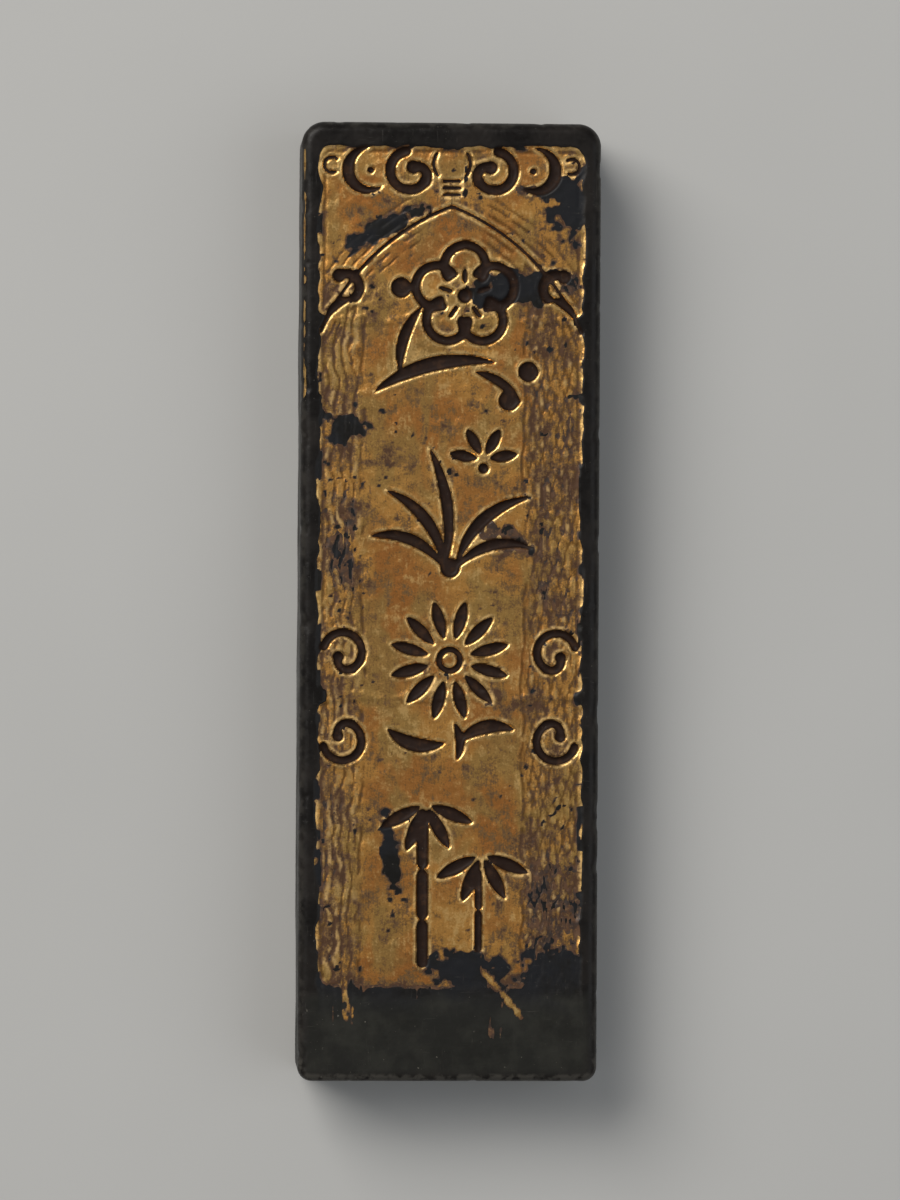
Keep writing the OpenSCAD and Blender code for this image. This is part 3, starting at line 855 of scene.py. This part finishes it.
def gold_material():
    t = Tree("aged_gold")
    gold, lines, lip, warm = t.field("gold"), t.field("lines"), t.field("lip"), t.field("warm")
    tarnish = t.noise(3.4, 4, 0.6, distortion=0.5)
    mottle = t.noise(0.95, 5, 0.68)
    grain = t.noise(0.20, 4, 0.7)
    streak = t.noise(0.34, 4, 0.65, t.stretch((1, 0.16, 1)))
    # The gold's amount, made uneven, takes its colour from brown through olive to full gold.
    amount = gold
    for pattern, weight in ((tarnish, 2.1), (mottle, 1.8), (grain, 1.3), (streak, 1.1)):
        amount = t.maths("ADD", amount, t.maths("MULTIPLY", t.maths("SUBTRACT", pattern, 0.5), weight))
    colour = t.mix(t.span(amount, 0.22, 0.50), GOLD_BROWN, GOLD_OLIVE)
    rich = t.mix(warm, GOLD, GOLD_ORANGE)
    green = t.span(t.noise(4.4, 3, 0.5, t.stretch((1, 0.6, 1)), 0.4), 0.46, 0.60)
    rich = t.mix(t.maths("MULTIPLY", green, 0.75), rich, GOLD_GREEN)
    colour = t.mix(t.span(amount, 0.46, 0.92), colour, rich)
    colour = t.mix(t.maths("MULTIPLY", t.span(amount, 1.0, 1.5), 0.55), colour, GOLD_PALE)
    # Paler lips, partly polish and partly painted highlights; darker brown along the fine lines; and dark
    # specks where the gold is thin.
    lip_glint_and_polish = t.maths("MULTIPLY", lip, t.span(t.noise(0.8, 4), 0.36, 0.56))
    colour = t.mix(t.maths("MULTIPLY", lip_glint_and_polish, 0.85), colour, GOLD_PALE)
    colour = t.mix(t.maths("MULTIPLY", lines, 0.72), colour, GOLD_BROWN)
    speck = t.span(t.noise(0.24, 3, 0.6), 0.36, 0.29)
    speck = t.maths("MULTIPLY", speck, t.span(gold, 1.0, 0.55))
    colour = t.mix(t.maths("MULTIPLY", speck, 0.8), colour, INK_LINE_BROWN)
    # Thin gold is less metallic and duller.
    metal = t.span(amount, 0.30, 0.66, 0.35, 0.95)
    metal = t.maths("MULTIPLY", metal, t.maths("SUBTRACT", 1.0, t.maths("MULTIPLY", speck, 0.8)))
    rough = t.span(amount, 0.25, 0.95, 0.62, 0.36)
    rough = t.maths("ADD", rough, t.maths("MULTIPLY", t.maths("SUBTRACT", grain, 0.5), 0.35))
    rough = t.maths("SUBTRACT", rough, t.maths("MULTIPLY", lip_glint_and_polish, 0.08), clamp=True)
    normal = t.bump(mottle, 0.05, 0.7)
    normal = t.bump(streak, 0.022, 0.7, normal)
    normal = t.bump(grain, 0.014, 0.9, normal)
    return t.finish(Base_Color=colour, Metallic=metal, Roughness=rough, Normal=normal)


def floor_material():
    t = Tree("pale_floor")
    colour = t.mix(t.span(t.noise(60, 3), 0.3, 0.7), FLOOR_DARKER, FLOOR_PALER)
    normal = t.bump(t.noise(0.5, 4), 0.01, 0.25)
    return t.finish(Base_Color=colour, Roughness=0.85, Normal=normal)


# ---------- the pieces ----------
def build_cake(f):
    bare_line = f.y + 1.2 * (fbm2(f.x, f.y, 2.0, 3, 57) - 0.5)
    bare = smooth(-HALF_L + 9.8, -HALF_L + 8.0, bare_line) * smooth(0.2, 1.6, f.inset)
    # Paler front edges, strongest at the ground end: partly wear, partly a painted highlight along the
    # arrises.
    worn_end = smooth(-HALF_L + 3, -HALF_L + 1, f.y)
    rim_wear_and_highlight = smooth(1.2, 0.3, f.inset) * (0.45 + 0.55 * worn_end)
    cake = cake_object(f, {
        "bare": (np.maximum(bare, 0.25 * f.lost), 0.12), "edge": (rim_wear_and_highlight, 0.0),
        "groove": (f.cut, 0.0), "lost": (f.lost, 0.0)})
    cake.data.materials.append(ink_material())
    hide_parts("ink_cake")


def build_size(f):
    keeps = without_crumbs([f.outline, f.off_line, f.gold - SIZE_BARE])
    size = trimmed_shell("stick_size", f, keeps, SIZE_LIFT, SIZE_THICK, {"gold": f.gold})
    size.data.materials.append(size_material())
    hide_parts("gilding_size")


def build_leaf(f, node, keeps, fields, gilt):
    """One piece of gold leaf, named after the CAD node that it stands for."""
    name = node.replace("gilt_", "leaf_")
    leaf = trimmed_shell(name, f, keeps, LEAF_LIFT, LEAF_THICK, fields)
    leaf.data.materials.append(gilt)
    return leaf


def build_panel_leaves(f, gilt):
    # The lip attribute carries the paler lips, edge and ridges: polish and painted highlights.
    fields = {"gold": f.gold, "lines": f.lines, "lip": f.bright, "warm": f.warm}
    for name in f.names:
        if name.startswith("gilt_") and name != "gilt_edge_line":
            keeps = without_crumbs([f.own_share(name), f.outline, f.off_line, f.gold - GOLD_BARE])
            piece = build_leaf(f, name, keeps, fields, gilt)
            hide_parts(name)


def build_edge_thread_and_glint(f, gilt):
    """The thread of gold left on the upper left edge, partly a gold trace and partly a painted highlight
    along the lit arris, as a ragged band around the rounding.
    """
    low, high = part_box("gilt_edge_line")
    ragged = fbm2(f.x, f.y, 1.1, 3, 81)
    around = np.degrees(np.arcsin(f.lean))
    middle = THREAD_ANGLE + 14 * (fbm2(f.x, f.y, 6, 2, 82) - 0.5)
    width = 12 * (0.25 + 0.8 * ragged) * smooth(0.70, 0.46, fbm2(f.x, f.y, 2.8, 3, 83))
    band = width - 1.2 - np.abs(around - middle)
    ends = np.minimum(f.y - low.y / MM + 3 * ragged, high.y / MM - f.y)
    on_left = -HALF_W + 1.5 - f.x
    nothing = 0 * f.gold
    # The thread's pale tone and its constant lip value paint a highlight along the arris.
    fields = {"gold": 0.50 + 0.3 * ragged, "lines": nothing, "lip": nothing + 0.4, "warm": nothing}
    piece = build_leaf(f, "gilt_edge_line", [0.05 * band, ends, on_left], fields, gilt)
    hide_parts("gilt_edge_line")


def build_stick():
    f = read_front()
    add_lines(f)
    add_relief(f)
    add_gold(f)
    build_cake(f)
    build_size(f)
    gilt = gold_material()
    build_panel_leaves(f, gilt)
    build_edge_thread_and_glint(f, gilt)


# ---------- stage ----------
FLOOR_HALF = 1.5
LENS = 180.0
FILL = 0.80              # share of the frame's height that the stick takes
SENSOR = 36.0
OFF_VERTICAL = 3.4       # the camera stands a little to the left of straight above
ROLL = 0.3
SKY = (0.80, 0.82, 0.85)
SKY_STRENGTH = 0.26
# Name, size in metres, power in watts, place in metres and colour. Each light aims at the origin.
LIGHTS = (
    ("key_upper_left", 0.80, 12.5, (-0.62, 0.62, 0.85), (1.0, 0.965, 0.92)),
    ("fill_right", 0.90, 2.2, (0.75, -0.15, 0.9), (0.93, 0.96, 1.0)),
)


def build_floor():
    mesh = bpy.data.meshes.new("floor")
    h = FLOOR_HALF
    mesh.from_pydata([(-h, -h, 0), (h, -h, 0), (h, h, 0), (-h, h, 0)], [], [(0, 1, 2, 3)])
    floor = bpy.data.objects.new("floor", mesh)
    bpy.context.scene.collection.objects.link(floor)
    floor.data.materials.append(floor_material())


def build_lights():
    world = bpy.data.worlds.new("studio")
    world.use_nodes = True
    background = world.node_tree.nodes["Background"]
    background.inputs["Color"].default_value = (*SKY, 1)
    background.inputs["Strength"].default_value = SKY_STRENGTH
    bpy.context.scene.world = world
    for name, size, watts, at, colour in LIGHTS:
        light = bpy.data.lights.new(name, "AREA")
        light.shape = "SQUARE"
        light.size = size
        light.energy = watts
        light.color = colour
        lamp = bpy.data.objects.new(name, light)
        lamp.location = at
        lamp.rotation_euler = (-Vector(at)).to_track_quat("-Z", "Y").to_euler()
        bpy.context.scene.collection.objects.link(lamp)


def build_camera():
    data = bpy.data.cameras.new("camera")
    data.lens = LENS
    data.sensor_width = SENSOR
    data.clip_start, data.clip_end = 0.01, 20
    camera = bpy.data.objects.new("camera", data)
    distance = LENS / SENSOR * (2 * HALF_L * MM / FILL)
    lean = math.radians(OFF_VERTICAL)
    camera.location = (-distance * math.sin(lean), 0, cad_high.z + distance * math.cos(lean))
    camera.rotation_euler = (0, -lean, math.radians(ROLL))
    bpy.context.scene.collection.objects.link(camera)
    bpy.context.scene.camera = camera


build_floor()
build_lights()
build_camera()
build_stick()
bpy.context.scene.view_settings.view_transform = "Standard"
